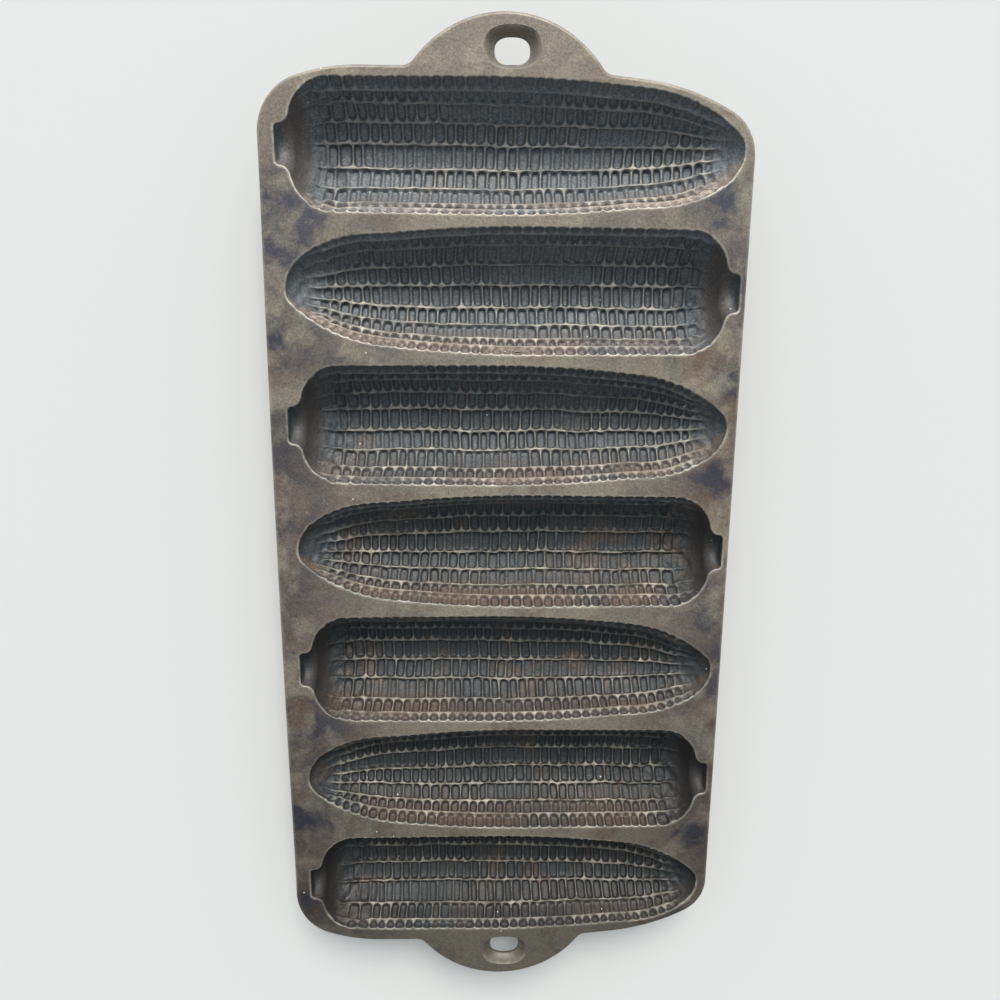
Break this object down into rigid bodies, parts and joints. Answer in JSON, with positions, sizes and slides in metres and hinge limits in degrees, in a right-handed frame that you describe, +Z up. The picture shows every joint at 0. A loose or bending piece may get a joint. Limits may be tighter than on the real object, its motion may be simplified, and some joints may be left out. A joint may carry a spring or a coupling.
{
  "type": "corn stick pan",
  "caption": "Cast iron baking pan with a row of ear-shaped moulds laid head to tail in a flat deck, and a half-round lug with a hanging slot at each end.",
  "frame": {"origin": "under the middle of the deck, on the surface that the pan stands on", "axes": "+Z up, out of the moulds; +Y along the row of ears, towards ear 1; +X along the ears, towards the tips of ears 1, 3, 5 and 7"},
  "size_m": [0.1504, 0.3264, 0.022],
  "materials": {
    "deck_iron": "seasoned cast iron, worn to a warm grey-brown on the flat deck, satin",
    "cavity_iron": "seasoned cast iron, charcoal in the moulds and on the backs, satin to semi-gloss"
  },
  "bodies": {
    "root": {"deck_plate": "deck_iron", "upper_lug": "deck_iron", "lower_lug": "deck_iron", "ear_cup_1": "cavity_iron", "ear_cup_2": "cavity_iron", "ear_cup_3": "cavity_iron", "ear_cup_4": "cavity_iron", "ear_cup_5": "cavity_iron", "ear_cup_6": "cavity_iron", "ear_cup_7": "cavity_iron"}
  },
  "joints": []
}
